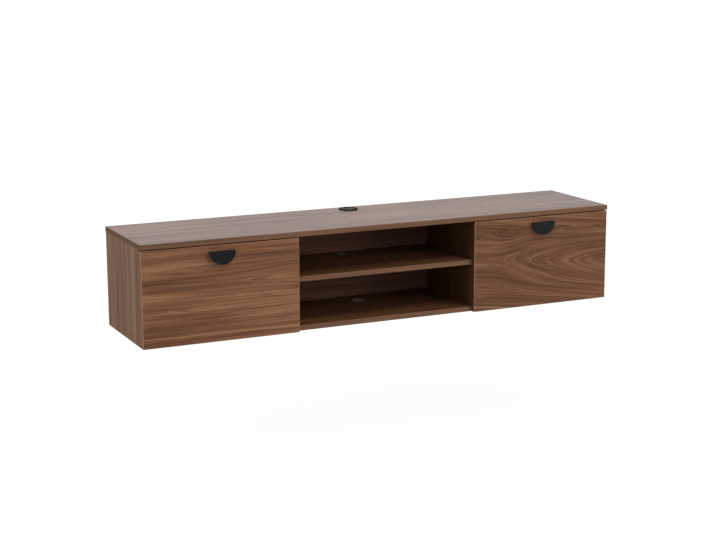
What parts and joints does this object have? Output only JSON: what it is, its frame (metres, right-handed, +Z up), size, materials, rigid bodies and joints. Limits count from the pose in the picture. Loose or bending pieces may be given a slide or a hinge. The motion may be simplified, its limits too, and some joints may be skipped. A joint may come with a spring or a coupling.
{
  "type": "floating media console",
  "caption": "Long wall-hung media cabinet with drop-down doors at both ends, an open bay with a shelf between them, half-moon pulls and cable openings.",
  "frame": {"origin": "on the wall plane, at the middle of the width and level with the cabinet's underside", "axes": "+X to the right along the width, -Y out of the front, +Y into the wall, +Z up"},
  "size_m": [1.8, 0.407, 0.3535],
  "materials": {
    "walnut_board": "satin walnut-pattern foil on particle board",
    "walnut_back": "matt walnut-pattern face on thin fibreboard",
    "rail_board": "matt walnut-pattern foil",
    "beech_dowel": "raw fluted beech",
    "zinc_fitting": "cast and zinc plated",
    "steel_hardware": "nickel-plated pressed steel",
    "steel_screw": "zinc-plated",
    "black_handle": "satin black powder coat",
    "black_plastic": "satin moulded",
    "catch_plastic": "brown moulded",
    "magnet": "dark ferrite with steel poles",
    "bumper": "translucent soft"
  },
  "bodies": {
    "carcass": {"top_panel": "walnut_board", "bottom_panel": "walnut_board", "left_side_panel": "walnut_board", "right_side_panel": "walnut_board", "left_divider": "walnut_board", "right_divider": "walnut_board", "bay_shelf": "walnut_board", "back_panel": "walnut_back", "upper_hanging_rail": "rail_board", "lower_hanging_rail": "rail_board", "cam_locks": "zinc_fitting", "cam_bolts": "zinc_fitting", "wood_dowels": "beech_dowel", "back_panel_screws": "steel_screw", "shelf_pins": "steel_hardware", "grommet_liner": "black_plastic", "catch_housings": "catch_plastic", "catch_magnets": "magnet", "door_bumpers": "bumper", "carcass_screws": "steel_screw", "left_hinge_bases": "steel_hardware", "left_hinge_pins": "steel_screw", "left_stay_studs": "steel_hardware", "right_hinge_bases": "steel_hardware", "right_hinge_pins": "steel_screw", "right_stay_studs": "steel_hardware"},
    "grommet_cap": {"grommet_cap": "black_plastic"},
    "left_flap": {"left_flap_door": "walnut_board", "left_handle": "black_handle", "left_handle_screws": "steel_screw", "left_strike_plate": "steel_hardware", "left_hinge_leaves": "steel_hardware", "left_stay_brackets": "steel_hardware", "left_stay_rivets": "steel_screw", "left_door_screws": "steel_screw"},
    "left_outer_stay": {"left_outer_stay_arm": "steel_hardware"},
    "left_inner_stay": {"left_inner_stay_arm": "steel_hardware"},
    "right_flap": {"right_flap_door": "walnut_board", "right_handle": "black_handle", "right_handle_screws": "steel_screw", "right_strike_plate": "steel_hardware", "right_hinge_leaves": "steel_hardware", "right_stay_brackets": "steel_hardware", "right_stay_rivets": "steel_screw", "right_door_screws": "steel_screw"},
    "right_outer_stay": {"right_outer_stay_arm": "steel_hardware"},
    "right_inner_stay": {"right_inner_stay_arm": "steel_hardware"}
  },
  "joints": [
    {"name": "left_flap_hinge", "type": "hinge", "parent": "carcass", "child": "left_flap", "pos_m": [-0.61925, -0.384, 0.006], "axis": [1, 0, 0], "range_deg": [0, 90]},
    {"name": "left_outer_stay_pivot", "type": "hinge", "parent": "left_flap", "child": "left_outer_stay", "pos_m": [-0.8735, -0.35995, 0.18626], "axis": [1, 0, 0], "range_deg": [-45, 0]},
    {"name": "left_inner_stay_pivot", "type": "hinge", "parent": "left_flap", "child": "left_inner_stay", "pos_m": [-0.365, -0.35995, 0.18626], "axis": [1, 0, 0], "range_deg": [-45, 0]},
    {"name": "right_flap_hinge", "type": "hinge", "parent": "carcass", "child": "right_flap", "pos_m": [0.61925, -0.384, 0.006], "axis": [1, 0, 0], "range_deg": [0, 90]},
    {"name": "right_outer_stay_pivot", "type": "hinge", "parent": "right_flap", "child": "right_outer_stay", "pos_m": [0.8735, -0.35995, 0.18626], "axis": [1, 0, 0], "range_deg": [-45, 0]},
    {"name": "right_inner_stay_pivot", "type": "hinge", "parent": "right_flap", "child": "right_inner_stay", "pos_m": [0.365, -0.35995, 0.18626], "axis": [1, 0, 0], "range_deg": [-45, 0]},
    {"name": "grommet_cap_turn", "type": "hinge", "parent": "carcass", "child": "grommet_cap", "pos_m": [0, -0.052, 0.35], "axis": [0, 0, 1], "continuous": true}
  ],
  "couplings": [
    {"joint": "left_outer_stay_pivot", "follows": "left_flap_hinge", "ratio": -0.5},
    {"joint": "left_inner_stay_pivot", "follows": "left_flap_hinge", "ratio": -0.5},
    {"joint": "right_outer_stay_pivot", "follows": "right_flap_hinge", "ratio": -0.5},
    {"joint": "right_inner_stay_pivot", "follows": "right_flap_hinge", "ratio": -0.5}
  ]
}
